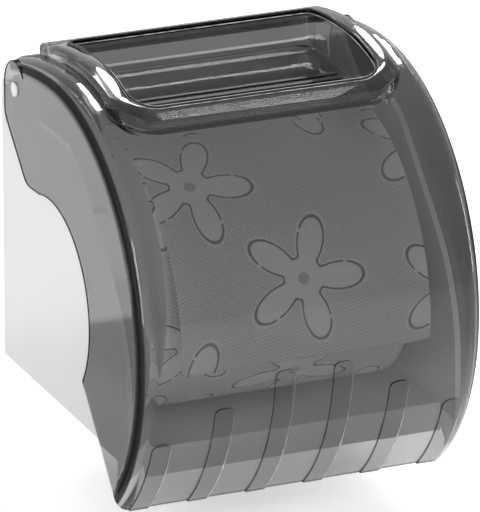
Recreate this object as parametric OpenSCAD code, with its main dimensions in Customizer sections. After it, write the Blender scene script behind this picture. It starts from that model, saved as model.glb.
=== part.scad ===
// Wall-hung holder for one toilet roll: a white moulded housing, a smoked
// see-through cover that swings up on two stub pins, and a sprung spindle.
// Millimetres. X runs across, +Z is up, the front faces -Y. The wall plane is
// y = 0 and the origin lies midway between the two wall-screw holes.

/* [Cover shell] */
// Overall width of the cover
cover_w = 124; // [118:1:132]
// Wall thickness of the cover
cover_t = 1.9; // [1.5:0.1:2.3]
// Outer radius of the curved front
arc_r = 78.3; // [77:0.1:80]
// Distance of the front curve's axis from the wall
arc_back = 51.5; // [50:0.5:53]
// Height of the front curve's axis above the wall screws
arc_up = -33.9; // [-36:0.1:-32]
// Sweep of the front below its axis, in degrees
sweep_below = 48.4; // [46:0.2:50]
// Radius of the flatter roof behind the crest
roof_r = 150; // [130:5:180]
// Distance of the roof's rear end from the wall
roof_back = 12; // [11.5:0.1:13]
// Radius of the rounded edge between front and wings
edge_r = 6; // [4:0.5:8]
// Radius of that edge on the inside
edge_in = 2.6; // [2:0.1:3.5]

/* [Wings] */
// Radius of the hand notch in each wing
notch_r = 34.7; // [30:0.5:38]
// Distance of the notch's centre from the wall
notch_back = 49; // [47:0.5:52]
// Height of the notch's centre above the front curve's axis
notch_up = -0.6; // [-3:0.2:2]
// Height of the wing's rear step above the front curve's axis
wing_step_up = 32.3; // [31:0.1:34]
// Height of the rear edge's lower end above the front curve's axis
wing_rear_up = 52; // [48:0.5:54]
// Angle of the wing's lower edge below the front curve's axis
wing_low_angle = 45.4; // [43:0.2:46]
// Radius of the bump below the notch
bump_r = 7; // [5:0.5:10]
// Radius of the corners behind the notch
wing_corner_r = 8; // [6:0.5:10]
// Radius of the cover's two lower corners
low_corner_r = 6; // [4:0.5:8]

/* [Hinge] */
// Distance of the hinge axis from the wall
hinge_back = 18.3; // [18:0.1:19]
// Height of the hinge axis above the front curve's axis
hinge_up = 63.7; // [62:0.1:65]
// Radius of the housing's stub pins
stub_r = 2.5; // [2:0.1:3]
// Radial clearance of a running fit
run_fit = 0.08; // [0.02:0.01:0.1]
// Radius of the lobe round each stub on the wings
lobe_r = 10; // [9:0.1:11]
// Radius of the lug round each stub on the housing
lug_r = 6; // [5.2:0.1:6.4]
// Distance of the lug's rear edge behind the hinge axis, where the open cover's edge passes
lug_back = 5; // [4.5:0.1:5.2]
// Clearance round the wings' lobes on the housing's rear
path_gap = 2.2; // [1.6:0.1:2.6]
// Length of a stub beyond the wing
stub_proud = 0.5; // [0.3:0.1:0.8]

/* [Tray] */
// Half width of the tray's rim
rim_x = 53; // [52:0.5:54]
// Half width of the tray pocket
pocket_x = 44.5; // [42:0.5:45]
// Distance of the rim's rear face from the wall
rim_back = 13.6; // [13:0.1:14]
// Distance of the rim's front face from the wall
rim_front = 88.6; // [86:0.2:90]
// Distance of the pocket's rear wall from the wall
pocket_back = 22.5; // [22:0.5:25]
// Distance of the pocket's front wall from the wall
pocket_front = 84.5; // [80:0.5:85]
// Height of the rim above the shell
rim_h = 4; // [3:0.1:4.6]
// Height of the tray floor above the front curve's axis
floor_up = 66.9; // [66:0.1:68]
// Corner radius of the rim at the front
rim_corner = 12; // [10:0.5:14]
// Corner radius of the rim at the rear
rim_corner_rear = 6; // [4:0.5:8]
// Corner radius of the pocket at the front
pocket_corner = 8; // [6:0.5:10]
// Corner radius of the pocket at the rear
pocket_corner_rear = 3; // [2:0.5:5]
// Rounding of the rim's upper edge
rim_round = 3.4; // [2:0.1:3.6]
// Width of the step round the pocket's mouth
lip_w = 0.9; // [0.6:0.1:1.2]
// Depth of the step round the pocket's mouth
lip_d = 1.1; // [0.8:0.1:1.4]
// Number of grip ridges on the tray floor
ridge_n = 5; // [3:1:7]
// Spacing of the grip ridges
ridge_pitch = 4.5; // [3.5:0.5:5]
// Width of a grip ridge
ridge_w = 1.6; // [1.2:0.1:2]
// Height of a grip ridge
ridge_h = 0.7; // [0.4:0.1:1]
// Distance of the ridges' ends from the pocket's side walls
ridge_end = 4; // [2:0.5:6]
// Distance of the first ridge from the pocket's front wall
ridge_from = 10; // [6:0.5:14]

/* [Finger ribs] */
// Number of ribs on the lower front
rib_n = 6; // [4:1:6]
// Spacing of the ribs
rib_pitch = 21.1; // [19:0.1:22]
// Width of a rib
rib_w = 7; // [6:0.2:8]
// Height of a rib above the front
rib_h = 0.5; // [0.3:0.1:1]
// Depth of the middle ribs' tops below the front curve's axis
rib_top = 6; // [4:0.5:9]
// How much lower each next rib begins
rib_step = 11; // [9:0.5:12]
// Radius of the corners at a rib's top
rib_corner = 2.4; // [1.5:0.1:3]

/* [Housing] */
// Wall thickness of the housing
case_t = 2; // [1.7:0.1:2.4]
// Gap between the wings and the housing's side walls
wing_gap = 0.3; // [0.2:0.05:0.5]
// Thickness of the back plate
back_t = 2.6; // [2.2:0.1:3.2]
// Height of the housing's rear top edge above the front curve's axis
back_top = 61.6; // [58:0.2:62]
// Depth of the housing's bottom edge below the front curve's axis
case_low = 39; // [38:0.2:40]
// Height of the side walls' top edge above the front curve's axis
case_top = 57.4; // [56:0.2:58]
// Room between the side walls' front edge and the cover's inside
nose_room = 12.9; // [12:0.1:18]
// Height of the front edge's upper end above the front curve's axis
nose_up = 6.3; // [0:0.5:12]
// Radius of the side walls' upper front curve
case_curve = 26; // [20:1:30]
// Radius of the side walls' front curve
case_nose = 62; // [50:1:66]
// Thickness of the bottom panel
base_t = 1.6; // [1.4:0.1:1.8]
// Distance of the bottom panel's lip from the wall
lip_front = 103.2; // [101:0.2:104]
// Depth of the lip below the bottom edge
lip_drop = 8.2; // [6:0.2:8.4]
// Gap at which the closed cover rests on the side walls' lower front corners
stop_gap = 0.3; // [0.2:0.05:0.5]

/* [Wall screws] */
// Spacing of the two wall-screw holes
screw_gap = 70; // [60:1:80]
// Radius of a wall-screw hole
screw_r = 2.2; // [2:0.1:2.5]
// Radius of the pad round a screw hole
screw_pad_r = 6.5; // [5.5:0.5:8]
// Height of the pad above the back plate
screw_pad_h = 1; // [0.6:0.1:1.4]

/* [Spindle] */
// Outer radius of the spindle's sleeve
sleeve_r = 12; // [11:0.2:12.6]
// Wall thickness of the spindle's tubes
tube_t = 1.5; // [1.2:0.1:1.8]
// Radius of the spindle's journals
journal_r = 5; // [4:0.2:6]
// Depth of the journals' sockets
socket_d = 3.5; // [3:0.1:3.9]
// Height of the socket bosses above the side walls
boss_h = 3; // [2.5:0.1:3.5]
// Radius of the socket bosses
boss_r = 8.5; // [8:0.5:10]
// Length of the sleeve inside the roll
sleeve_len = 66; // [60:1:70]
// How far the inner tube reaches into the sleeve
tube_lap = 22; // [18:1:26]
// End play of the spindle between its sockets
end_play = 0.3; // [0.2:0.05:0.5]
// Wire radius of the spindle's spring
wire_r = 0.6; // [0.5:0.05:0.8]
// Turns of the spindle's spring
spring_turns = 8; // [6:1:10]

/* [Roll] */
// Width of the roll
roll_w = 90; // [86:1:96]
// Radius of the roll
roll_r = 48; // [42:0.5:48.5]
// Distance of the roll's axis from the wall
roll_back = 62; // [61:0.5:63]
// Height of the roll's axis above the front curve's axis
roll_up = 11.4; // [11:0.2:12]
// Inner radius of the cardboard core
core_r = 20; // [19:0.5:22]
// Wall thickness of the cardboard core
core_t = 1; // [0.8:0.1:1.4]
// Thickness of the loose sheet
sheet_t = 0.6; // [0.4:0.1:0.8]
// Radius of the loose sheet's curve
sheet_r = 61; // [60:0.2:64]
// Least room between the loose sheet and the cover's inside
sheet_room = 4; // [3:0.2:4.8]
// Height of the loose sheet's lower edge above the front curve's axis
sheet_low = -5.5; // [-10:0.5:0]
// Gap between paper or core and what carries it
rest_gap = 0.3; // [0.2:0.05:0.4]

/* [Hidden] */
$fn = 96;
eps = 0.01;
far = 400;

white = "white";
smoke = [0.25, 0.25, 0.27, 0.6];
card = [0.62, 0.55, 0.45];
paper = [0.93, 0.93, 0.92];
steel = "silver";

// Faces across the width
wing_in = cover_w / 2 - cover_t;
case_x = wing_in - wing_gap;
case_in = case_x - case_t;
stub_end = cover_w / 2 + stub_proud;

// Side-view places: the first number is forward of the front curve's axis, the second above it
wall_u = -arc_back;
hinge = [hinge_back - arc_back, hinge_up];
notch = [notch_back - arc_back, notch_up];
roof_centre = [0, arc_r - roof_r];
roof_end = asin((arc_back - roof_back) / roof_r);
skin_in = arc_r - cover_t;
// Reach of the cover's inner fillet at the side walls' outer faces, where the cover comes to rest
stop_r = skin_in - edge_in + sqrt(pow(edge_in, 2) - pow(edge_in - wing_gap, 2));

// Spindle and roll
roll_axis = [roll_back - arc_back, roll_up];
spindle_axis = roll_axis + [0, core_r - sleeve_r - rest_gap];
inner_tube_r = sleeve_r - tube_t - run_fit;
socket_x = case_in - boss_h;
socket_end = socket_x + socket_d;
journal_end = socket_end - end_play / 2;
tube_end = socket_x - end_play;
sleeve_open = sleeve_len - tube_end;
plunger_inner = sleeve_open - tube_lap;
spring_r = sleeve_r - tube_t - rest_gap - wire_r;

// Loose sheet: it leaves the roll where its own curve touches it, and keeps clear of the cover
sheet_reach = sheet_r - sheet_t / 2 - rest_gap - roll_r;
sheet_back = max(0, roll_axis[0] - (skin_in - sheet_room - sheet_r));
sheet_lean = asin(sheet_back / sheet_reach);
sheet_axis = roll_axis - sheet_reach * [sin(sheet_lean), cos(sheet_lean)];

// ---------- places and turns ----------

// Side view to solid: local x is forward, local y is up, local z is across
module side_view() {
    translate([0, -arc_back, arc_up])
        rotate([90, 0, -90])
            children();
}

// Extrusion of a side-view outline over the width w, centred on the middle plane
module across(w) {
    side_view()
        linear_extrude(w, center = true)
            children();
}

// Plate between x0 and x1 and its mirror image
module both_sides(x0, x1) {
    for (low = [-x1, x0])
        side_view()
            translate([0, 0, low])
                linear_extrude(x1 - x0)
                    children();
}

// Turned solid about an axis across the width; the profile is drawn as [radius, across]
module swept(centre, from, to) {
    side_view()
        translate([centre[0], centre[1], 0])
            rotate([0, 0, from])
                rotate_extrude(angle = to - from)
                    children();
}

// Shaft across the width between x0 and x1
module shaft(centre, r, x0, x1) {
    side_view()
        translate([centre[0], centre[1], -x1])
            cylinder(r = r, h = x1 - x0);
}

// Shaft between x0 and x1 and its mirror image
module both_shafts(centre, r, x0, x1) {
    shaft(centre, r, x0, x1);
    shaft(centre, r, -x1, -x0);
}

function unit(v) = v / norm(v);

// The waste between a sharp corner p, with arms towards a and b, and an arc of radius r in it
module corner_waste(p, a, b, r) {
    da = unit(a - p);
    db = unit(b - p);
    half_angle = acos(da * db) / 2;
    reach = r / tan(half_angle);
    centre = p + unit(da + db) * r / sin(half_angle);
    outside = p - unit(da + db);
    difference() {
        polygon([outside, p + da * reach, centre, p + db * reach]);
        translate(centre)
            circle(r);
    }
}

// ---------- housing ----------

// Side wall seen from the side: straight rear and foot, a falling front with two soft corners,
// a lug for the stub pin and a clear path for the cover's rear end behind it
module case_side() {
    front = skin_in - nose_room;
    shoulder = [front - (case_top - nose_up), case_top];
    nose = [front, nose_up];
    heel = [front, -case_low];
    ramp = 40;
    lug_rear = hinge[0] - lug_back;
    lug_top = [lug_rear, hinge[1] + (lug_r + lug_back * sin(ramp)) / cos(ramp)];
    ramp_foot = [lug_rear + (lug_top[1] - case_top) / tan(ramp), case_top];
    intersection() {
        difference() {
            polygon([[wall_u, -case_low], [wall_u, back_top], [lug_rear, back_top], lug_top,
                     ramp_foot, shoulder, nose, heel]);
            corner_waste(shoulder, ramp_foot, nose, case_curve);
            corner_waste(nose, shoulder, heel, case_nose);
            corner_waste(lug_top, [lug_rear, 0], ramp_foot, lug_r);
            intersection() {
                translate(hinge)
                    circle(lobe_r + path_gap);
                translate([lug_rear - far, 0])
                    square([far, 2 * far]);
            }
        }
        union() {
            circle(stop_r - stop_gap);
            translate([wall_u, -case_low])
                square([-wall_u, case_low + 2 * arc_r]);
        }
    }
}

// Back plate, bottom panel and its lip seen from the side
module back_and_base() {
    translate([wall_u, -case_low])
        square([back_t, back_top + case_low]);
    translate([wall_u, -case_low])
        square([lip_front, base_t]);
    translate([wall_u + lip_front - case_t, -case_low - lip_drop])
        square([case_t, lip_drop + base_t]);
}

module housing() color(white) {
    difference() {
        union() {
            both_sides(case_in, case_x)
                case_side();
            across(2 * case_in + 2 * eps)
                back_and_base();
            for (side = [-1, 1])
                translate([side * screw_gap / 2, eps - back_t, 0])
                    rotate([90, 0, 0])
                        cylinder(r = screw_pad_r, h = screw_pad_h + eps);
            both_shafts(spindle_axis, boss_r, socket_x, case_in + eps);
            both_shafts(hinge, stub_r, case_x - eps, stub_end);
        }
        for (side = [-1, 1])
            translate([side * screw_gap / 2, eps, 0])
                rotate([90, 0, 0])
                    cylinder(r = screw_r, h = back_t + screw_pad_h + 2 * eps);
        both_shafts(spindle_axis, journal_r + run_fit, socket_x - eps, socket_end);
    }
}

// ---------- cover ----------

// Rectangle from r - depth to r and across +-half, round at its two outer corners
module half_round(r, half, corner, depth) {
    difference() {
        translate([r - depth, -half])
            square([depth, 2 * half]);
        for (side = [-1, 1] * half)
            corner_waste([r, side], [0, side], [r, 0], corner);
    }
}

// Cross-section of the bent wall as [radius, across]
module shell_section(r) {
    difference() {
        half_round(r, cover_w / 2, edge_r, edge_r + 1);
        half_round(r - cover_t, wing_in, edge_in, edge_r + 1);
    }
}

// Everything seen from the side under the skin's outer face raised by grow
module under_skin(grow) {
    intersection() {
        circle(arc_r + grow);
        translate([0, -far])
            square([far, 2 * far]);
    }
    intersection() {
        translate(roof_centre)
            circle(roof_r + grow);
        translate([wall_u, 0])
            square([-wall_u, far]);
    }
}

// Outline that the wings keep, seen from the side
module wing_outline() {
    rear = hinge[0] - lobe_r;
    rear_low = [rear, wing_rear_up];
    step = [rear + wing_rear_up - wing_step_up, wing_step_up];
    to_step = step - notch;
    touch_angle = atan2(to_step[1], to_step[0]) - acos(notch_r / norm(to_step)) - 12;
    touch = notch + (notch_r - 0.5) * [cos(touch_angle), sin(touch_angle)];
    // The lower edge is radial; it meets the notch in a rounded bump
    low = [cos(wing_low_angle), -sin(wing_low_angle)];
    side = [sin(wing_low_angle), cos(wing_low_angle)];
    along = low * notch;
    tip = low * (along + sqrt(pow(along, 2) - notch * notch + pow(notch_r, 2)));
    to_bump = bump_r * side - notch;
    reach = along + sqrt(pow(along, 2) - to_bump * to_bump + pow(notch_r + bump_r, 2));
    bump = reach * low + bump_r * side;
    difference() {
        polygon([
            [rear, hinge[1]], rear_low, step, touch, notch, tip,
            low * (arc_r + 1), [arc_r + 1, 0], [arc_r + 1, arc_r + 1],
            [0, arc_r + 1], [hinge[0], hinge[1] + lobe_r]
        ]);
        corner_waste(rear_low, [rear, hinge[1]], step, wing_corner_r);
        corner_waste(step, rear_low, touch, wing_corner_r);
        translate(notch)
            circle(notch_r);
        difference() {
            polygon([notch + notch_r * unit(bump - notch), tip - low, reach * low, bump]);
            translate(bump)
                circle(bump_r);
        }
    }
    translate(hinge)
        circle(lobe_r);
}

module wings() {
    both_sides(wing_in, cover_w / 2)
        intersection() {
            wing_outline();
            union() {
                under_skin(-edge_r - 0.5);
                translate(hinge)
                    circle(lobe_r);
            }
        }
}

// Rectangle in plan with round corners, front and rear radii of their own
module plan_outline(half, back, front, r_front, r_rear) {
    difference() {
        translate([-half, -front])
            square([2 * half, front - back]);
        for (side = [-1, 1]) {
            corner_waste([side * half, -front], [side * half, -back], [0, -front], r_front);
            corner_waste([side * half, -back], [side * half, -front], [0, -back], r_rear);
        }
    }
}

// Side view of the rim block, round where its top meets its front and rear faces
module rim_side(back, front, top, round) {
    front_u = front - arc_back;
    rear_u = back - arc_back;
    front_c = [front_u - round, sqrt(pow(arc_r + top - round, 2) - pow(front_u - round, 2))];
    rear_c = [rear_u + round,
              roof_centre[1] + sqrt(pow(roof_r + top - round, 2) - pow(rear_u + round, 2))];
    over = round + 9;
    difference() {
        translate([rear_u, 0])
            square([front_u - rear_u, 2 * arc_r]);
        difference() {
            polygon([front_c, front_c + [over, 0], front_c + [over, over],
                     front_c + unit(front_c) * over]);
            translate(front_c)
                circle(round);
        }
        difference() {
            polygon([rear_c, rear_c - [over, 0], rear_c + [-over, over],
                     rear_c + unit(rear_c - roof_centre) * over]);
            translate(rear_c)
                circle(round);
        }
    }
}

// Block of the rim: its top follows the skin, its upper edges are round, and it goes depth deep
module rim_block(half, back, front, top, depth, corner, corner_rear, round) {
    intersection() {
        union() {
            swept([0, 0], 90, 0)
                half_round(arc_r + top, half, round, depth);
            swept(roof_centre, 90, 90 + roof_end + 3)
                half_round(roof_r + top, half, round, depth);
        }
        across(2 * half + 1)
            rim_side(back, front, top, round);
        translate([0, 0, arc_up])
            linear_extrude(far)
                plan_outline(half, back, front, corner, corner_rear);
    }
}

// Prism on the tray pocket's plan, enlarged by grow, from the height up
module pocket(grow, up) {
    translate([0, 0, arc_up + up])
        linear_extrude(far)
            plan_outline(pocket_x + grow, pocket_back - grow, pocket_front + grow,
                         pocket_corner + grow, pocket_corner_rear + grow);
}

// Hollow behind the raised rim, open from below
module rim_hollow() {
    top = rim_h - cover_t;
    difference() {
        rim_block(rim_x - cover_t, rim_back + cover_t, pocket_front - rim_round, top,
                  top + cover_t + 1, rim_corner - cover_t, rim_corner_rear - cover_t, 1);
        pocket(cover_t, 0);
    }
}

// Raised flat ribs with soft top corners, cut from one band round the lower front
module ribs() {
    intersection() {
        swept([0, 0], 90, -sweep_below)
            translate([arc_r - cover_t / 2, -cover_w / 2])
                square([rib_h + cover_t / 2, cover_w]);
        translate([0, -arc_back, arc_up])
            rotate([90, 0, 0])
                linear_extrude(2 * arc_r)
                    for (i = [0 : rib_n - 1])
                        translate([(i - (rib_n - 1) / 2) * rib_pitch, 0])
                            rib_outline(floor(abs(i - (rib_n - 1) / 2)));
    }
}

module rib_outline(steps_out) {
    top = -rib_top - rib_step * steps_out;
    difference() {
        translate([-rib_w / 2, -arc_r])
            square([rib_w, top + arc_r]);
        for (side = [-1, 1])
            corner_waste([side * rib_w / 2, top], [side * rib_w / 2, -arc_r], [0, top],
                         rib_corner);
    }
}

module ridges() {
    for (i = [0 : ridge_n - 1])
        translate([ridge_end - pocket_x, ridge_from - pocket_front + i * ridge_pitch,
                   arc_up + floor_up - eps])
            cube([2 * (pocket_x - ridge_end), ridge_w, ridge_h + eps]);
}

// Waste outside the rounded lower corners
module low_corners() {
    side_view()
        rotate([0, 0, -sweep_below])
            rotate([90, 0, 90])
                linear_extrude(2 * arc_r)
                    for (half = [-1, 1] * cover_w / 2)
                        corner_waste([0, half], [far, half], [0, 0], low_corner_r);
}

// Waste of the section's legs below the wings' lower edges
module wing_feet() {
    both_sides(wing_in - eps, cover_w)
        difference() {
            polygon([[0, 0], far * [cos(wing_low_angle), -sin(wing_low_angle)],
                     far * [cos(sweep_below + 9), -sin(sweep_below + 9)]]);
            difference() {
                circle(far);
                circle(arc_r - edge_r);
            }
        }
}

// Bent skin with its wings, without the tray
module skin() {
    difference() {
        union() {
            swept([0, 0], 90, -sweep_below)
                shell_section(arc_r);
            swept(roof_centre, 90, 90 + roof_end)
                shell_section(roof_r);
            wings();
        }
        low_corners();
        wing_feet();
        // The tray takes over inside the middle of the rim's outer wall
        translate([0, 0, arc_up])
            linear_extrude(far)
                plan_outline(rim_x - cover_t / 2, rim_back + cover_t / 2, rim_front - cover_t / 2,
                             rim_corner - cover_t / 2, rim_corner_rear - cover_t / 2);
    }
}

// Tray with its raised hollow rim, which ends within the skin's wall
module tray() {
    difference() {
        union() {
            rim_block(rim_x, rim_back, rim_front, rim_h, rim_h + 0.7 * cover_t, rim_corner,
                      rim_corner_rear, rim_round);
            intersection() {
                pocket(cover_t, floor_up - cover_t);
                across(cover_w)
                    under_skin(-cover_t / 2);
            }
        }
        pocket(0, floor_up);
        difference() {
            pocket(lip_w, floor_up);
            across(far)
                under_skin(rim_h - lip_d);
        }
        rim_hollow();
    }
}

module cover() color(smoke) {
    difference() {
        union() {
            skin();
            tray();
            ribs();
        }
        shaft(hinge, stub_r + run_fit, -cover_w, cover_w);
    }
    ridges();
}

// ---------- spindle ----------

module spindle_sleeve() color(white)
    difference() {
        union() {
            shaft(spindle_axis, sleeve_r, -tube_end, sleeve_open);
            shaft(spindle_axis, journal_r, -journal_end, eps - tube_end);
        }
        shaft(spindle_axis, sleeve_r - tube_t, tube_t - tube_end, sleeve_open + eps);
    }

module spindle_plunger() color(white)
    difference() {
        union() {
            shaft(spindle_axis, inner_tube_r, plunger_inner, tube_end);
            shaft(spindle_axis, journal_r, tube_end - eps, journal_end);
        }
        shaft(spindle_axis, inner_tube_r - tube_t, plunger_inner + tube_t, tube_end - tube_t);
    }

// Point of the wire's ring b at turn angle a
function coil_point(a, b, pitch) = [
    pitch * a / 360 + wire_r * sin(b),
    (spring_r + wire_r * cos(b)) * cos(a),
    (spring_r + wire_r * cos(b)) * sin(a)
];

module spindle_spring() color(steel) {
    sides = 6;
    steps = 18;
    x0 = tube_t + rest_gap + wire_r - tube_end;
    x1 = plunger_inner - rest_gap - wire_r;
    pitch = (x1 - x0) / spring_turns;
    rings = spring_turns * steps;
    points = [for (i = [0 : rings], j = [0 : sides - 1])
        coil_point(i * 360 / steps, j * 360 / sides, pitch)];
    skin = [for (i = [0 : rings - 1], j = [0 : sides - 1])
        [i * sides + j, i * sides + (j + 1) % sides, (i + 1) * sides + (j + 1) % sides,
         (i + 1) * sides + j]];
    ends = [[for (j = [sides - 1 : -1 : 0]) j], [for (j = [0 : sides - 1]) rings * sides + j]];
    translate([x0, -arc_back - spindle_axis[0], arc_up + spindle_axis[1]])
        polyhedron(points, concat(skin, ends));
}

// ---------- roll ----------

module ring_across(centre, r_in, r_out)
    across(roll_w)
        translate(centre)
            difference() {
                circle(r_out);
                circle(r_in);
            }

module roll_core() color(card)
    ring_across(roll_axis, core_r, core_r + core_t);

module paper_roll() color(paper)
    ring_across(roll_axis, core_r + core_t, roll_r);

module paper_sheet() color(paper) {
    low = asin((sheet_low - sheet_axis[1]) / sheet_r);
    swept(sheet_axis, low, 96 - sheet_lean)
        translate([sheet_r - sheet_t / 2, -roll_w / 2])
            square([sheet_t, roll_w]);
}

housing();
cover();
spindle_sleeve();
spindle_plunger();
spindle_spring();
roll_core();
paper_roll();
paper_sheet();
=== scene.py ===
import math

import bpy
import bmesh
from mathutils import Matrix, Vector, noise


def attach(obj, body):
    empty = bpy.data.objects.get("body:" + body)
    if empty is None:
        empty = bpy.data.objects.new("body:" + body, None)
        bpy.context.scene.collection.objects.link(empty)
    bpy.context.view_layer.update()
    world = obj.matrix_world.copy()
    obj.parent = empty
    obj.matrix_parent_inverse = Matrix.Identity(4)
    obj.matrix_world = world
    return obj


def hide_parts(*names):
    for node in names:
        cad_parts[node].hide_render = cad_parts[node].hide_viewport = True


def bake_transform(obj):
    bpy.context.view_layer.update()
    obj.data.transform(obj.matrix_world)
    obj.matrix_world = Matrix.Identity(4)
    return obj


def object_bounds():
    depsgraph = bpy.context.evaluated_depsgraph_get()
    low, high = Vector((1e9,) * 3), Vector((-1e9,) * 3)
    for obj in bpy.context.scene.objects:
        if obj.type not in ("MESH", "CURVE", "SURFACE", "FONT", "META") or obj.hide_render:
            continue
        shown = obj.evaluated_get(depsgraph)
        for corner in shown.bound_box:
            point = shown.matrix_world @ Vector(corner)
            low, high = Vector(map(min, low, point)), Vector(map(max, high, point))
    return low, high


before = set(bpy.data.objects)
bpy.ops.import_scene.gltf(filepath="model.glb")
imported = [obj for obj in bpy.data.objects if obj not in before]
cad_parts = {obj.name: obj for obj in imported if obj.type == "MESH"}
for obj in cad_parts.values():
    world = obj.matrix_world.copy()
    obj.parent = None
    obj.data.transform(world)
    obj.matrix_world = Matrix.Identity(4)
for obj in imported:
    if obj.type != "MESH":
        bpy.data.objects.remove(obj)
CAD_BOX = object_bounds()
scene = bpy.context.scene

# ---------------------------------------------------------------- sizes
# In metres, and the same as the part's own values; angles are in degrees from the front
COVER_HALF, COVER_T = 0.062, 0.0019
ROLL_Y, ROLL_Z, ROLL_R, CORE_R = -0.062, -0.0225, 0.048, 0.021
ROLL_HALF = 0.045
SHEET_Y, SHEET_Z, SHEET_R = -0.062, -0.0349, 0.061
SHEET_LOW, SHEET_TOP = -4.2, 96.0
HINGE = Vector((-0.0183, 0.0298))
# The tray's pocket, and the arcs of the rim's top in front of and behind the highest place
POCKET_X, POCKET_BACK, POCKET_FRONT, CORNER, CORNER_REAR = 0.0445, 0.0225, 0.0845, 0.008, 0.003
ARC_Y, ARC_Z, RIM_R, ROOF_Z, ROOF_R = -0.0515, -0.0339, 0.0823, -0.1056, 0.154
# The finger ribs: their number, spacing and half width, and their outer face's radius
RIBS, RIB_PITCH, RIB_HALF, RIB_EDGE_R = 6, 0.0211, 0.0035, 0.0787
RIB_TOP, RIB_STEP, RIB_LOW = -0.0084, 0.011, -48.2

TURN = 2 * math.pi

# ---------------------------------------------------------------- camera
CAM_POS = Vector((-0.844228, -2.034434, 0.777424))
CAM_AZ, CAM_EL = math.radians(-23.2219), math.radians(20.4935)
LENS = 475.64


def make_camera():
    data = bpy.data.cameras.new("camera")
    data.sensor_fit = "VERTICAL"
    data.sensor_height = 36.0
    data.sensor_width = 36.0 * 480 / 512
    data.lens = LENS
    data.clip_start, data.clip_end = 0.1, 30.0
    cam = bpy.data.objects.new("camera", data)
    scene.collection.objects.link(cam)
    right = Vector((math.cos(CAM_AZ), math.sin(CAM_AZ), 0.0))
    back = Vector((math.sin(CAM_AZ) * math.cos(CAM_EL), -math.cos(CAM_AZ) * math.cos(CAM_EL),
                   math.sin(CAM_EL)))
    up = back.cross(right)
    rot = Matrix((right, up, back)).transposed().to_4x4()
    cam.matrix_world = Matrix.Translation(CAM_POS) @ rot
    scene.camera = cam


make_camera()


# ---------------------------------------------------------------- node helpers
class Nodes:
    """A short way to build a node tree for a material or a group."""

    def __init__(self, name, group=False):
        if group:
            self.tree = bpy.data.node_groups.new(name, "ShaderNodeTree")
            self.mat = None
            return
        self.mat = bpy.data.materials.new(name)
        self.mat.use_nodes = True
        self.tree = self.mat.node_tree
        self.tree.nodes.clear()
        self.out = self.tree.nodes.new("ShaderNodeOutputMaterial")

    def add(self, kind, **values):
        node = self.tree.nodes.new(kind)
        for key, value in values.items():
            setattr(node, key, value)
        return node

    def put(self, socket, value):
        if isinstance(value, bpy.types.NodeSocket):
            self.tree.links.new(value, socket)
        elif isinstance(value, bpy.types.Node):
            self.tree.links.new(value.outputs[0], socket)
        else:
            socket.default_value = value

    def math(self, op, a, b=None, c=None):
        node = self.add("ShaderNodeMath", operation=op)
        self.put(node.inputs[0], a)
        if b is not None:
            self.put(node.inputs[1], b)
        if c is not None:
            self.put(node.inputs[2], c)
        return node.outputs[0]

    def ramp(self, value, low, high, to_low=0.0, to_high=1.0):
        node = self.add("ShaderNodeMapRange", interpolation_type="SMOOTHSTEP")
        self.put(node.inputs["Value"], value)
        node.inputs["From Min"].default_value = low
        node.inputs["From Max"].default_value = high
        node.inputs["To Min"].default_value = to_low
        node.inputs["To Max"].default_value = to_high
        return node.outputs["Result"]

    def noise(self, coords, scale, detail=3.0, rough=0.5):
        node = self.add("ShaderNodeTexNoise")
        self.put(node.inputs["Vector"], coords)
        node.inputs["Scale"].default_value = scale
        node.inputs["Detail"].default_value = detail
        node.inputs["Roughness"].default_value = rough
        return node.outputs["Fac"]

    def split(self, vector):
        """The vector's three parts, as sockets."""
        node = self.add("ShaderNodeSeparateXYZ")
        self.put(node.inputs[0], vector)
        return node.outputs[0], node.outputs[1], node.outputs[2]

    def mix(self, fac, a, b):
        node = self.add("ShaderNodeMix", data_type="RGBA")
        self.put(node.inputs[0], fac)
        self.put(node.inputs[6], a)
        self.put(node.inputs[7], b)
        return node.outputs[2]

    def bump(self, height, distance, strength=1.0, normal=None):
        node = self.add("ShaderNodeBump")
        node.inputs["Strength"].default_value = strength
        node.inputs["Distance"].default_value = distance
        self.put(node.inputs["Height"], height)
        if normal is not None:
            self.put(node.inputs["Normal"], normal)
        return node.outputs[0]

    def coords(self):
        return self.add("ShaderNodeTexCoord").outputs["Object"]

    def mix_shader(self, fac, a, b):
        node = self.add("ShaderNodeMixShader")
        for socket, value in zip(node.inputs, (fac, a, b)):
            self.put(socket, value)
        return node

    def diffuse(self, color):
        node = self.add("ShaderNodeBsdfDiffuse")
        node.inputs["Color"].default_value = color
        return node

    def surface(self, shader):
        self.tree.links.new(shader.outputs[0], self.out.inputs["Surface"])
        return self.mat


def principled(n, **values):
    node = n.add("ShaderNodeBsdfPrincipled")
    for key, value in values.items():
        n.put(node.inputs[key.replace("_", " ")], value)
    return node


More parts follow.
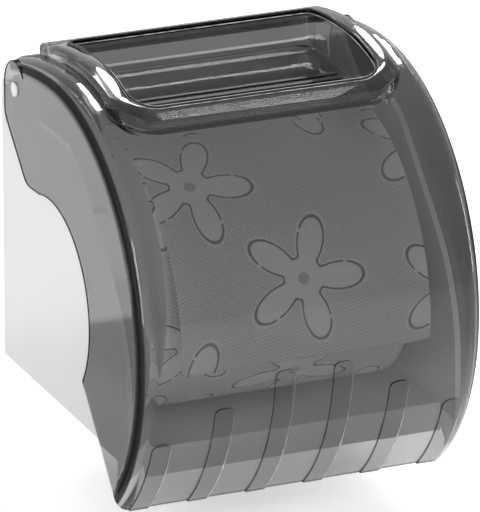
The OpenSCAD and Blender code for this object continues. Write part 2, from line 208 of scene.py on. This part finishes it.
# ---------------------------------------------------------------- materials
def rim_crown(n, at):
    """Height in metres that crowns the tray's rim between its inner and outer edge."""
    # A rounded rectangle in plan, its distance taken as 0 on the pocket's side of the rim
    half_x, half_y, centre_y, corner = 0.0375, 0.024, -0.0535, 0.007
    # Middle of the rim's width at its front, where it is narrower, and elsewhere
    front_middle, side_middle = 0.0018, 0.0042
    half_width, height = 0.0046, 0.0011
    x, y, _ = n.split(at)
    qx = n.math("SUBTRACT", n.math("ABSOLUTE", x), half_x)
    qy = n.math("SUBTRACT", n.math("ABSOLUTE", n.math("ADD", y, -centre_y)), half_y)
    px, py = n.math("MAXIMUM", qx, 0.0), n.math("MAXIMUM", qy, 0.0)
    far = n.math("SQRT", n.math("ADD", n.math("MULTIPLY", px, px), n.math("MULTIPLY", py, py)))
    near = n.math("MINIMUM", n.math("MAXIMUM", qx, qy), 0.0)
    out = n.math("SUBTRACT", n.math("ADD", far, near), corner)
    middle = n.ramp(y, -POCKET_FRONT, -0.078, front_middle, side_middle)
    off = n.math("DIVIDE", n.math("SUBTRACT", out, middle), half_width)
    crown = n.math("MAXIMUM", n.math("SUBTRACT", 1.0, n.math("MULTIPLY", off, off)), 0.0)
    return n.math("MULTIPLY", crown, height)


def smoke_material():
    """Clear smoked plastic: real refraction and smoke absorption in its depth, painted shade on
    its edges, and painted light towards its lower edge.
    """
    n = Nodes("smoked_plastic_look")
    where = n.add("ShaderNodeTexCoord")
    at = where.outputs["Object"]
    flow = n.noise(at, 28.0, 2.0)
    wear = n.noise(at, 900.0, 2.0)
    rough = n.math("ADD", 0.018, n.math("MULTIPLY", wear, 0.008))
    normal = n.bump(rim_crown(n, at), 1.0, 1.0, n.bump(flow, 0.0006, 0.12))
    x, _, z = n.split(at)
    # Lighter towards its lower edge: painted light that brightens the cover's lower part
    painted_light_tint = n.mix(n.ramp(z, -0.053, -0.037), (0.985, 0.985, 0.99, 1), (0.8, 0.8, 0.805, 1))
    glass = principled(n, Base_Color=painted_light_tint, Roughness=rough, IOR=1.5,
                       Transmission_Weight=1.0, Normal=normal)
    # Painted shade: the cut edges of the wings are painted near-black, for the dark that
    # refraction shows along them
    normal_x, _, _ = n.split(where.outputs["Normal"])
    out_x, flat = n.math("ABSOLUTE", x), n.math("ABSOLUTE", normal_x)
    inside = COVER_HALF - COVER_T
    cut = n.math("MULTIPLY", n.ramp(out_x, inside, inside + 0.0002),
                 n.ramp(flat, 0.35, 0.5, 1.0, 0.0))
    # A stretch of the rounded front edge, about half-way round it on the outside, gets the same
    # painted shade
    outside = n.math("GREATER_THAN", n.math("MULTIPLY", x, normal_x), 0.0)
    front_edge_shade = n.math("MULTIPLY", n.ramp(out_x, 0.0585, 0.0600), outside)
    front_edge_shade = n.math("MULTIPLY", front_edge_shade, n.ramp(flat, 0.66, 0.77))
    front_edge_shade = n.math("MULTIPLY", front_edge_shade, n.ramp(flat, 0.93, 0.975, 1.0, 0.0))
    # Painted shade: near-black is mixed into the glass on the cut edges and on that stretch of
    # the front edge
    edge = n.math("MAXIMUM", n.math("MULTIPLY", cut, 0.9), n.math("MULTIPLY", front_edge_shade, 0.78))
    glass_with_painted_shade = n.mix_shader(edge, glass, n.diffuse((0.012, 0.012, 0.013, 1)))
    clear = n.add("ShaderNodeBsdfTransparent")
    clear.inputs["Color"].default_value = (0.95, 0.95, 0.95, 1)
    smoke = n.add("ShaderNodeVolumeAbsorption")
    smoke.inputs["Color"].default_value = (0.21, 0.19, 0.205, 1)
    smoke.inputs["Density"].default_value = 520.0
    n.put(n.out.inputs["Volume"], smoke)
    shadow = n.add("ShaderNodeLightPath").outputs["Is Shadow Ray"]
    return n.surface(n.mix_shader(shadow, glass_with_painted_shade, clear))


def painted_shade_plastic():
    """Near-black glossy plastic for thin tubes that paint dark lines of shade along the cover's
    edges.
    """
    n = Nodes("painted_shade_line_look")
    wear = n.noise(n.coords(), 900.0, 2.0)
    color = n.mix(wear, (0.012, 0.012, 0.013, 1), (0.03, 0.03, 0.032, 1))
    return n.surface(principled(n, Base_Color=color, IOR=1.5, Specular_IOR_Level=0.2,
                                Roughness=n.math("ADD", 0.06, n.math("MULTIPLY", wear, 0.04))))


def painted_highlight_edge(name, shaded_from, shaded_to):
    """Look of pale tubes: a painted highlight along a sharp polished corner, with painted shade
    above a height.
    """
    n = Nodes(name)
    wear = n.noise(n.coords(), 260.0, 3.0)
    # Painted highlight: a pale colour that the noise breaks into brighter and dimmer stretches
    color = n.mix(n.ramp(wear, 0.35, 0.6), (0.30, 0.30, 0.31, 1), (0.78, 0.78, 0.79, 1))
    # Painted shade darkens it from one height upwards
    z = n.split(n.coords())[2]
    color = n.mix(n.ramp(z, shaded_from, shaded_to), color, (0.14, 0.14, 0.145, 1))
    return n.surface(principled(n, Base_Color=color, IOR=1.5,
                                Roughness=n.math("ADD", 0.12, n.math("MULTIPLY", wear, 0.1))))


def white_plastic(name, tone=0.82, rough=0.28):
    n = Nodes(name)
    at = n.coords()
    mottle = n.noise(at, 60.0, 3.0)
    grain = n.noise(at, 2600.0, 2.0)
    color = n.mix(mottle, (tone * 0.985, tone * 0.985, tone * 0.98, 1), (tone, tone, tone, 1))
    roughness = n.math("ADD", rough, n.math("MULTIPLY", grain, 0.1))
    return n.surface(principled(n, Base_Color=color, Roughness=roughness, IOR=1.5,
                                Normal=n.bump(grain, 0.00003, 0.3)))


def steel():
    n = Nodes("spring_steel_look")
    at = n.coords()
    streak = n.noise(at, 1500.0, 3.0)
    color = n.mix(streak, (0.48, 0.48, 0.49, 1), (0.66, 0.66, 0.67, 1))
    return n.surface(principled(n, Base_Color=color, Metallic=1.0,
                                Roughness=n.math("ADD", 0.2, n.math("MULTIPLY", streak, 0.15))))


def cardboard():
    n = Nodes("core_board_look")
    at = n.coords()
    x, y, z = n.split(at)
    turn = n.math("ARCTAN2", n.math("ADD", z, -ROLL_Z), n.math("ADD", y, -ROLL_Y))
    # One seam of the spiral winding for each 32 mm of length
    lead = n.math("ADD", n.math("MULTIPLY", x, 1 / 0.032), n.math("DIVIDE", turn, TURN))
    seam = n.ramp(n.math("PINGPONG", lead, 0.5), 0.0, 0.02)
    fibre = n.noise(at, 700.0, 4.0, 0.7)
    color = n.mix(fibre, (0.36, 0.31, 0.25, 1), (0.52, 0.46, 0.38, 1))
    color = n.mix(seam, (0.25, 0.21, 0.17, 1), color)
    return n.surface(principled(n, Base_Color=color, Roughness=0.9,
                                Normal=n.bump(fibre, 0.0001, 0.5)))


def flower_group():
    """Distance in mm from a five-petal outline; it takes a place, a centre and a turn."""
    n = Nodes("flower", group=True)
    face = n.tree.interface
    for name, kind in (("At", "Vector"), ("Centre", "Vector"), ("Turn", "Float")):
        face.new_socket(name, in_out="INPUT", socket_type="NodeSocket" + kind)
    for name in ("Edge", "Eye", "Vein", "Gap"):
        face.new_socket(name, in_out="OUTPUT", socket_type="NodeSocketFloat")
    give = n.add("NodeGroupInput")
    take = n.add("NodeGroupOutput")
    off = n.add("ShaderNodeVectorMath", operation="SUBTRACT")
    n.put(off.inputs[0], give.outputs["At"])
    n.put(off.inputs[1], give.outputs["Centre"])
    x, y, _ = n.split(off)
    r = n.math("SQRT", n.math("ADD", n.math("MULTIPLY", x, x), n.math("MULTIPLY", y, y)))
    angle = n.math("ADD", n.math("ARCTAN2", y, x), give.outputs["Turn"])
    fifth = TURN / 5
    fold = n.math("SUBTRACT", n.math("FLOORED_MODULO", n.math("ADD", angle, fifth / 2), fifth),
                  fifth / 2)
    qx = n.math("MULTIPLY", r, n.math("COSINE", fold))
    qy = n.math("MULTIPLY", r, n.math("SINE", fold))
    # A petal is an ellipse that is fuller towards its tip; all of them join a round body
    middle, half_length, half_width, body_r, eye_r = 12.4, 9.1, 4.5, 7.0, 1.9
    along = n.math("DIVIDE", n.math("SUBTRACT", qx, middle), half_length)
    width = n.math("ADD", half_width, n.math("MULTIPLY", along, 0.5))
    across = n.math("DIVIDE", qy, width)
    petal = n.math("SQRT", n.math("ADD", n.math("MULTIPLY", along, along),
                                  n.math("MULTIPLY", across, across)))
    petal = n.math("MULTIPLY", n.math("SUBTRACT", petal, 1.0), 4.4)
    body = n.math("SUBTRACT", r, body_r)
    n.put(take.inputs["Edge"], n.math("SMOOTH_MIN", petal, body, 1.8))
    n.put(take.inputs["Eye"], n.math("SUBTRACT", r, eye_r))
    # Veins run out along the petal; the outline is broken once on one side of it
    vein = n.ramp(n.math("PINGPONG", qy, 1.3), 0.15, 0.5, 1.0, 0.0)
    vein = n.math("MULTIPLY", vein, n.ramp(qx, 11.0, 15.0))
    n.put(take.inputs["Vein"], n.math("MULTIPLY", vein, n.ramp(petal, -1.4, -0.6, 1.0, 0.0)))
    gap = n.ramp(n.math("ABSOLUTE", n.math("SUBTRACT", qx, 15.4)), 0.5, 0.8, 1.0, 0.0)
    gap = n.math("MULTIPLY", gap, n.ramp(qy, -1.0, 0.0, 1.0, 0.0))
    n.put(take.inputs["Gap"], gap)
    return n.tree


# Flowers on the loose sheet and on the roll: their place across and along it in mm, their turn
SHEET_FLOWERS = [(-30.9, 42.4, -0.15), (0.3, 79.6, -0.05), (18.5, 6.0, -0.17),
                 (55.5, 38.0, -0.05), (55.5, 89.0, -0.05), (-43.0, 116.5, -0.1)]
ROLL_FLOWERS = [(-34.0, 12.0, 0.3), (6.0, 34.0, 0.9), (44.0, 8.0, 0.2), (-38.0, 58.0, 0.6),
                (38.0, 62.0, 0.4), (0.0, 84.0, 0.1)]


def tissue(name, flowers, repeat=None):
    """Embossed tissue: a fine lattice of dots, with flat flowers drawn by a pressed line; painted
    shade darkens the dots, the line and the eyes, and painted light brightens the veins.

    The flowers come again after a repeat in mm along the paper.
    """
    n = Nodes(name)
    uv = n.add("ShaderNodeUVMap", uv_map="paper").outputs[0]
    u, v, _ = n.split(uv)
    s, t = n.math("MULTIPLY", u, 1000.0), n.math("MULTIPLY", v, 1000.0)
    t_flower = n.math("FLOORED_MODULO", t, repeat) if repeat else t
    place = n.add("ShaderNodeCombineXYZ")
    n.put(place.inputs[0], s)
    n.put(place.inputs[1], t_flower)
    group = flower_group()
    edge = eye = vein = gap = None
    for fx, fy, turn in flowers:
        f = n.add("ShaderNodeGroup", node_tree=group)
        n.put(f.inputs["At"], place)
        f.inputs["Centre"].default_value = (fx, fy, 0)
        f.inputs["Turn"].default_value = turn
        near = n.ramp(f.outputs["Edge"], 0.9, 1.1, 1.0, 0.0)
        f_vein = n.math("MULTIPLY", f.outputs["Vein"], near)
        f_gap = n.math("MULTIPLY", f.outputs["Gap"], near)
        edge = f.outputs["Edge"] if edge is None else n.math("MINIMUM", edge, f.outputs["Edge"])
        eye = f.outputs["Eye"] if eye is None else n.math("MINIMUM", eye, f.outputs["Eye"])
        vein = f_vein if vein is None else n.math("MAXIMUM", vein, f_vein)
        gap = f_gap if gap is None else n.math("MAXIMUM", gap, f_gap)
    line = n.ramp(n.math("ABSOLUTE", edge), 0.14, 0.42, 1.0, 0.0)
    line = n.math("MULTIPLY", line, n.math("SUBTRACT", 1.0, gap))
    spot = n.ramp(eye, -0.25, 0.25, 1.0, 0.0)
    inside = n.ramp(edge, -0.2, 0.2, 1.0, 0.0)
    # Staggered dots: 1.15 mm apart along a row, with every second row 1.25 mm further on
    a = n.math("COSINE", n.math("MULTIPLY", s, TURN / 1.15))
    b = n.math("COSINE", n.math("MULTIPLY", t, TURN / 1.25))
    dots = n.ramp(n.math("MULTIPLY", a, b), 0.0, 0.8)
    dots = n.math("MULTIPLY", dots, n.math("SUBTRACT", 1.0, n.ramp(edge, 0.5, 1.1, 1.0, 0.0)))
    fibre = n.noise(n.coords(), 900.0, 4.0, 0.7)
    soft = n.noise(n.coords(), 45.0, 3.0)
    color = n.mix(soft, (0.80, 0.80, 0.79, 1), (0.88, 0.88, 0.87, 1))
    # Painted shade in the dots, painted light on the veins, painted shade in the pressed line and
    # the eyes, besides their bumps
    color = n.mix(dots, color, (0.3, 0.3, 0.3, 1))
    color = n.mix(n.math("MULTIPLY", vein, 0.35), color, (0.97, 0.97, 0.96, 1))
    color = n.mix(n.math("MULTIPLY", line, 0.9), color, (0.14, 0.14, 0.14, 1))
    color = n.mix(n.math("MULTIPLY", spot, 0.6), color, (0.3, 0.3, 0.3, 1))
    height = n.math("SUBTRACT", n.math("MULTIPLY", fibre, 0.12), n.math("MULTIPLY", dots, 0.5))
    height = n.math("SUBTRACT", height, line)
    height = n.math("SUBTRACT", height, spot)
    height = n.math("ADD", height, n.math("MULTIPLY", inside, 0.6))
    height = n.math("ADD", height, n.math("MULTIPLY", vein, 0.3))
    return n.surface(principled(n, Base_Color=color, Roughness=0.85, IOR=1.3,
                                Normal=n.bump(height, 0.00035, 0.9)))


def give(node, mat):
    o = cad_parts[node]
    if not o.data.materials:
        o.data.materials.append(mat)
    for slot in o.material_slots:
        slot.material = mat


give("housing", white_plastic("white_plastic_look"))
give("cover", smoke_material())
give("spindle_sleeve", white_plastic("sleeve_plastic_look", 0.8, 0.35))
give("spindle_plunger", white_plastic("plunger_plastic_look", 0.8, 0.35))
give("roll_core", cardboard())


# ---------------------------------------------------------------- paper
def mesh_object(name, bm, mat):
    """A smooth-shaded object from a bmesh, which it frees."""
    mesh = bpy.data.meshes.new(name)
    bm.to_mesh(mesh)
    bm.free()
    for poly in mesh.polygons:
        poly.use_smooth = True
    mesh.materials.append(mat)
    o = bpy.data.objects.new(name, mesh)
    scene.collection.objects.link(o)
    return o


def make_sheet():
    """Loose end of the paper: it leaves the roll's top and hangs in front of it."""
    across, along = 90, 110
    thickness, ripple, curl_in = 0.0003, 0.0005, -0.0006
    a0, a1 = math.radians(SHEET_TOP), math.radians(SHEET_LOW)
    length = SHEET_R * (a0 - a1)
    bm = bmesh.new()
    uv = bm.loops.layers.uv.new("paper")
    where = {}
    rows = []
    for j in range(along + 1):
        row = []
        for i in range(across + 1):
            s = (i / across * 2 - 1) * ROLL_HALF
            t = j / along
            tear = 0.0
            if j == along:
                tear = 0.0003 * math.sin(i * 2.4) + 0.0005 * noise.noise(Vector((i * 0.3, 0, 7)))
            a = a0 + (a1 - a0) * t + tear / SHEET_R
            wave = ripple * noise.noise(Vector((s * 40, t * 3.2, 0.4)))
            curl = curl_in * max(0.0, abs(s) / ROLL_HALF - 0.85) / 0.15
            r = SHEET_R + (wave + curl * t) * min(1.0, t * 6)
            v = bm.verts.new((s, SHEET_Y - r * math.cos(a), SHEET_Z + r * math.sin(a)))
            where[v] = (s, t * length)
            row.append(v)
        rows.append(row)
    for j in range(along):
        for i in range(across):
            face = bm.faces.new((rows[j][i], rows[j + 1][i], rows[j + 1][i + 1], rows[j][i + 1]))
            for loop in face.loops:
                loop[uv].uv = where[loop.vert]
    o = mesh_object("loose_paper", bm, tissue("loose_paper_look", SHEET_FLOWERS))
    solid = o.modifiers.new("thickness", "SOLIDIFY")
    solid.thickness = thickness
    solid.offset = 0
    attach(o, "housing")
    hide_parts("paper_sheet")


def make_roll():
    """Wound paper: an embossed outside, and ends that show the turns."""
    around, across, rings = 180, 45, 20
    unevenness, deepest = 0.0002, 0.0003
    pattern_repeat = 100.53  # mm, a third of the roll's girth
    bm = bmesh.new()
    uv = bm.loops.layers.uv.new("paper")

    def point(x, r, a):
        return bm.verts.new((x, ROLL_Y - r * math.cos(a), ROLL_Z + r * math.sin(a)))

    def face(vs, coords, index):
        f = bm.faces.new(vs)
        f.material_index = index
        for loop, c in zip(f.loops, coords):
            loop[uv].uv = c

    outer, inner = [], {}
    for j in range(around):
        a = TURN * j / around
        row = []
        for i in range(across + 1):
            s = (i / across * 2 - 1) * ROLL_HALF
            bulge = noise.noise(Vector((s * 50, math.cos(a) * 2, math.sin(a) * 2)))
            row.append(point(s, ROLL_R - unevenness + unevenness * bulge, a))
        outer.append(row)
    ends = ((-1, 0), (1, across))
    for side, _ in ends:
        for k in range(1, rings + 1):
            for j in range(around):
                a = TURN * j / around
                r = ROLL_R + (CORE_R - ROLL_R) * k / rings
                dip = deepest * (0.5 + 0.5 * noise.noise(Vector((r * 700, math.cos(a), side))))
                if k == rings:
                    dip = 0.0
                inner[side, k, j] = point(side * (ROLL_HALF - dip), r, a)
    girth = TURN * ROLL_R
    for j in range(around):
        k = (j + 1) % around
        t0, t1 = girth * (1 - j / around), girth * (1 - (j + 1) / around)
        for i in range(across):
            s0, s1 = (i / across * 2 - 1) * ROLL_HALF, ((i + 1) / across * 2 - 1) * ROLL_HALF
            face((outer[j][i], outer[j][i + 1], outer[k][i + 1], outer[k][i]),
                 ((s0, t0), (s1, t0), (s1, t1), (s0, t1)), 0)
        for side, edge in ends:
            for m in range(rings):
                p0 = outer[j][edge] if m == 0 else inner[side, m, j]
                p1 = outer[k][edge] if m == 0 else inner[side, m, k]
                q0, q1 = inner[side, m + 1, j], inner[side, m + 1, k]
                quad = (p0, p1, q1, q0) if side < 0 else (p0, q0, q1, p1)
                face(quad, ((0, 0),) * 4, 1)
        bore = (inner[-1, rings, j], inner[-1, rings, k], inner[1, rings, k], inner[1, rings, j])
        face(bore, ((0, 0),) * 4, 1)
    bmesh.ops.recalc_face_normals(bm, faces=bm.faces)
    o = mesh_object("wound_paper", bm, tissue("wound_paper_look", ROLL_FLOWERS, pattern_repeat))
    o.data.materials.append(wound_ends())
    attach(o, "roll")
    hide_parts("paper_roll")


def wound_ends():
    """The roll's ends: fine rings, 0.6 mm apart, where the turns show."""
    n = Nodes("wound_end_look")
    at = n.coords()
    _, y, z = n.split(at)
    y, z = n.math("ADD", y, -ROLL_Y), n.math("ADD", z, -ROLL_Z)
    r = n.math("SQRT", n.math("ADD", n.math("MULTIPLY", y, y), n.math("MULTIPLY", z, z)))
    wobble = n.math("MULTIPLY", n.noise(at, 90.0, 2.0), 0.0008)
    turns = n.math("SINE", n.math("MULTIPLY", n.math("ADD", r, wobble), TURN / 0.0006))
    fibre = n.noise(at, 1200.0, 4.0, 0.7)
    color = n.mix(n.ramp(turns, -1.0, 0.2), (0.62, 0.62, 0.61, 1), (0.86, 0.86, 0.85, 1))
    height = n.math("ADD", n.math("MULTIPLY", turns, 0.5), fibre)
    return n.surface(principled(n, Base_Color=color, Roughness=0.95,
                                Normal=n.bump(height, 0.0002, 0.7)))


make_roll()
make_sheet()


# ---------------------------------------------------------------- the cover's polished edges, drawn as painted shade and painted highlights
def rim_top(y):
    """Height of the rim's top face at a place across the part's depth."""
    if y < ARC_Y:
        return ARC_Z + math.sqrt(RIM_R ** 2 - (y - ARC_Y) ** 2)
    return ROOF_Z + math.sqrt(ROOF_R ** 2 - (y - ARC_Y) ** 2)


def tray_path(out, drop):
    """Closed path round the tray's mouth, out from the pocket's wall and below the rim's top.

    It stays below the cover's highest place, where the rim is level with it.
    """
    arc_steps, stride, below_highest = 12, 0.002, 0.0005
    x, back, front = POCKET_X + out, -POCKET_BACK + out, -POCKET_FRONT - out
    corners = ((x, front, CORNER + out, -90), (x, back, CORNER_REAR + out, 0),
               (-x, back, CORNER_REAR + out, 90), (-x, front, CORNER + out, 180))
    points = []
    for cx, cy, r, start in corners:
        mx, my = cx - math.copysign(r, cx), cy - math.copysign(r, cy - ARC_Y)
        for k in range(arc_steps + 1):
            a = math.radians(start + 90 / arc_steps * k)
            points.append((mx + r * math.cos(a), my + r * math.sin(a)))
    path = []
    for j, (px, py) in enumerate(points):
        qx, qy = points[(j + 1) % len(points)]
        steps = max(1, int(math.hypot(qx - px, qy - py) / stride))
        path += [(px + (qx - px) * k / steps, py + (qy - py) * k / steps) for k in range(steps)]
    path = [Vector((px, py, min(rim_top(py) - drop, rim_top(ARC_Y) - below_highest)))
            for px, py in path]
    return path + [path[0].copy()]


def tube(bm, path, radius, sides=8):
    """Tube along a list of points; where the ends meet it is a closed ring."""
    ring_shaped = (path[0] - path[-1]).length < 1e-9
    if ring_shaped:
        path = path[:-1]
    last = len(path) - 1
    rings = []
    for j, here in enumerate(path):
        after = path[(j + 1) % len(path)] if ring_shaped else path[min(j + 1, last)]
        before = path[j - 1] if ring_shaped else path[max(j - 1, 0)]
        ahead = (after - before).normalized()
        across = Vector((1, 0, 0)) if abs(ahead.x) < 0.7 else Vector((0, 0, 1))
        side = ahead.cross(across).normalized()
        rise = side.cross(ahead)
        rings.append([bm.verts.new(here + radius * (side * math.cos(a) + rise * math.sin(a)))
                      for a in (TURN * k / sides for k in range(sides))])
    # Each ring joins the next at its nearest point, so that the tube doesn't twist
    for j in range(len(rings) if ring_shaped else last):
        ring, after = rings[j], rings[(j + 1) % len(rings)]
        gap = min(range(sides), key=lambda k: (after[k].co - ring[0].co).length)
        for k in range(sides):
            bm.faces.new((ring[k], after[(k + gap) % sides], after[(k + gap + 1) % sides],
                          ring[(k + 1) % sides]))
    if not ring_shaped:
        bm.faces.new(rings[0])
        bm.faces.new(rings[-1])


def trim(name, paths, radius, mat):
    """A piece made of thin tubes along polished edges of the cover, whose colour paints the
    edges' dark lines of shade and their highlights.
    """
    bm = bmesh.new()
    for path in paths:
        tube(bm, path, radius)
    bmesh.ops.recalc_face_normals(bm, faces=bm.faces)
    o = mesh_object(name, bm, mat)
    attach(o, "cover")


# A dark tube in the step at the rim's inner edge paints the shade there, between two pale tubes
# that paint the highlights of its corners
trim("tray_lip", [tray_path(out=0.00045, drop=-0.0001)], radius=0.00042, mat=painted_shade_plastic())
trim("tray_lip_painted_highlights",
     [tray_path(out=0.00095, drop=0.00017), tray_path(out=-0.0001, drop=0.0012)],
     radius=0.00016, mat=painted_highlight_edge("lip_painted_highlight_look", shaded_from=0.5, shaded_to=0.6))


def wing_outlines():
    """Chains of points where a wing's outer face meets its cut edge, but not the hinge's bore."""
    outer_face, bore = COVER_HALF - 0.0001, 0.005
    source = bmesh.new()
    source.from_mesh(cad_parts["cover"].data)
    bmesh.ops.remove_doubles(source, verts=source.verts, dist=1e-6)
    source.normal_update()
    links = {}
    for edge in source.edges:
        if len(edge.link_faces) != 2 or min(abs(v.co.x) for v in edge.verts) < outer_face:
            continue
        flats = sorted(abs(f.normal.x) for f in edge.link_faces)
        middle = (edge.verts[0].co + edge.verts[1].co) / 2
        if flats[0] < 0.5 and flats[1] > 0.99 and (middle.yz - HINGE).length > bore:
            for a, b in (edge.verts, reversed(edge.verts)):
                links.setdefault(a.index, []).append(b.index)
    source.verts.ensure_lookup_table()
    chains, seen = [], set()
    starts = sorted(links, key=lambda i: (len(links[i]) != 1, i))
    for start in starts:
        if start in seen:
            continue
        chain, here = [start], start
        seen.add(start)
        while True:
            after = [i for i in links[here] if i not in seen]
            if not after:
                break
            here = after[0]
            seen.add(here)
            chain.append(here)
        chains.append([source.verts[i].co.copy() for i in chain])
    source.free()
    return [c for c in chains if len(c) > 3]


def wing_edge_paths():
    """Paths of the tubes that paint, as shade, the dark line that the thick edge of each wing
    shows at its outer corner.
    """
    set_in, sunk = 0.00035, 0.0001
    paths = []
    for chain in wing_outlines():
        if chain[0].z < chain[-1].z:
            chain.reverse()
        path = []
        for j, here in enumerate(chain):
            ahead = (chain[min(j + 1, len(chain) - 1)] - chain[max(j - 1, 0)]).normalized()
            inward = ahead.cross(Vector((1, 0, 0))).normalized()
            path.append(here + set_in * inward - Vector((math.copysign(sunk, here.x), 0, 0)))
        paths.append(path)
    return paths


def rib_edge_paths(side, highest):
    """One edge of each finger rib, from below its rounded top to the cover's lower edge."""
    steps = 40
    paths = []
    for i in range(RIBS):
        place = i - (RIBS - 1) / 2
        top = min(RIB_TOP - RIB_STEP * math.floor(abs(place)), highest)
        top = math.asin(top / RIB_EDGE_R)
        low = math.radians(RIB_LOW)
        path = []
        for k in range(steps + 1):
            a = top + (low - top) * k / steps
            path.append(Vector((place * RIB_PITCH + side * RIB_HALF,
                                ARC_Y - RIB_EDGE_R * math.cos(a),
                                ARC_Z + RIB_EDGE_R * math.sin(a))))
        paths.append(path)
    return paths


# Dark tubes paint the shade along the wings' edges and along the ribs' left edges low down; pale
# tubes paint the highlights along the ribs' right edges, turning to painted shade higher up
trim("wing_edges", wing_edge_paths(), radius=0.00034, mat=painted_shade_plastic())
trim("rib_edges", rib_edge_paths(side=1, highest=0.0), radius=0.00014,
     mat=painted_highlight_edge("rib_painted_highlight_look", shaded_from=-0.078, shaded_to=-0.056))
trim("rib_shades", rib_edge_paths(side=-1, highest=-0.03), radius=0.00016, mat=painted_shade_plastic())


# ---------------------------------------------------------------- spring
def make_spring():
    """The spring between two bodies, copied from the part as one steel-looking piece."""
    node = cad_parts["spindle_spring"]
    bm = bmesh.new()
    bm.from_mesh(node.data)
    bm.transform(node.matrix_world)
    o = mesh_object("spring_coils", bm, steel())
    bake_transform(o)
    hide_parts("spindle_spring")


make_spring()


# ---------------------------------------------------------------- floor and light
def seen_by_eye(tree):
    """1 for camera, glossy and transmission rays."""
    path = tree.nodes.new("ShaderNodeLightPath")
    last = path.outputs["Is Camera Ray"]
    for name in ("Is Glossy Ray", "Is Transmission Ray"):
        top = tree.nodes.new("ShaderNodeMath")
        top.operation = "MAXIMUM"
        tree.links.new(last, top.inputs[0])
        tree.links.new(path.outputs[name], top.inputs[1])
        last = top.outputs[0]
    return last


def make_floor():
    """Pale floor that keeps the part's shadow, with a painted shadow added near the part, and
    that looks white further out.
    """
    below, shade_reach, glow_strength = 0.012, 0.16, 0.75
    bpy.ops.mesh.primitive_plane_add(size=12.0, location=(0, 0, CAD_BOX[0][2] - below))
    floor = bpy.context.object
    floor.name = "floor"
    n = Nodes("floor_look")
    glow = n.add("ShaderNodeEmission")
    # Painted shadow: ambient occlusion darkens the floor's glow near the part, on top of the real
    # shadow in its diffuse light
    shade = n.add("ShaderNodeAmbientOcclusion", samples=8)
    shade.inputs["Distance"].default_value = shade_reach
    painted_shadow_factor = n.math("POWER", shade.outputs["AO"], 0.5)
    n.put(glow.inputs["Strength"],
          n.math("MULTIPLY", seen_by_eye(n.tree), n.math("MULTIPLY", painted_shadow_factor, glow_strength)))
    pale = n.add("ShaderNodeAddShader")
    n.put(pale.inputs[0], n.diffuse((0.85, 0.85, 0.85, 1)))
    n.put(pale.inputs[1], glow)
    # Two dark patches beside the part are painted shade that only reflections show: they darken
    # what the cover reflects on its sides
    left_shade_strength, right_shade_strength = 0.56, 0.75
    x, y, _ = n.split(n.coords())
    left = n.math("MULTIPLY", n.ramp(x, -0.08, -0.07, 1.0, 0.0),
                  n.ramp(y, 0.088, 0.098, 1.0, 0.0))
    left = n.math("MULTIPLY", left, n.ramp(y, -0.14, -0.12))
    right = n.math("MULTIPLY", n.ramp(x, 0.065, 0.12), n.ramp(y, -0.14, 0.03))
    reflected_painted_shade = n.math("MAXIMUM", n.math("MULTIPLY", left, left_shade_strength),
                   n.math("MULTIPLY", right, right_shade_strength))
    reflected_painted_shade = n.math("MULTIPLY", reflected_painted_shade, n.add("ShaderNodeLightPath").outputs["Is Glossy Ray"])
    look = n.mix_shader(reflected_painted_shade, pale, n.diffuse((0.02, 0.02, 0.02, 1)))
    floor.data.materials.append(n.surface(look))


def make_world():
    """Even sky: white to the eye and in reflections, and dim as a light."""
    world = bpy.data.worlds.new("studio")
    scene.world = world
    world.use_nodes = True
    t = world.node_tree
    t.nodes.clear()
    out = t.nodes.new("ShaderNodeOutputWorld")
    mix = t.nodes.new("ShaderNodeMixShader")
    t.links.new(seen_by_eye(t), mix.inputs[0])
    for slot, strength in ((1, 0.35), (2, 1.0)):
        sky = t.nodes.new("ShaderNodeBackground")
        sky.inputs["Color"].default_value = (1, 1, 1, 1)
        sky.inputs["Strength"].default_value = strength
        t.links.new(sky.outputs[0], mix.inputs[slot])
    t.links.new(mix.outputs[0], out.inputs["Surface"])


def softbox(name, az, el, width, height, radiance, shape="RECTANGLE"):
    """Flat lamp seen from the object at an azimuth (0 in front, 90 at right) and height."""
    far, aim = 1.3, Vector((0, -0.062, -0.02))
    a, e = math.radians(az), math.radians(el)
    way = Vector((math.sin(a) * math.cos(e), -math.cos(a) * math.cos(e), math.sin(e)))
    data = bpy.data.lights.new(name, "AREA")
    data.shape = shape
    data.size, data.size_y = width, height
    data.energy = radiance * math.pi * width * height
    o = bpy.data.objects.new(name, data)
    scene.collection.objects.link(o)
    o.location = aim + way * far
    o.rotation_euler = way.to_track_quat("Z", "Y").to_euler()
    return o


make_floor()
make_world()
softbox("left_box", az=-60, el=6, width=0.22, height=1.1, radiance=7.0)
softbox("right_box", az=70, el=6, width=0.15, height=1.1, radiance=8.0)
front = softbox("front_box", az=-24, el=7, width=1.0, height=0.45, radiance=6.0)
front.visible_glossy = False
softbox("rear_box", az=150, el=40, width=0.38, height=0.8, radiance=12.0, shape="ELLIPSE")

scene.view_settings.view_transform = "Standard"
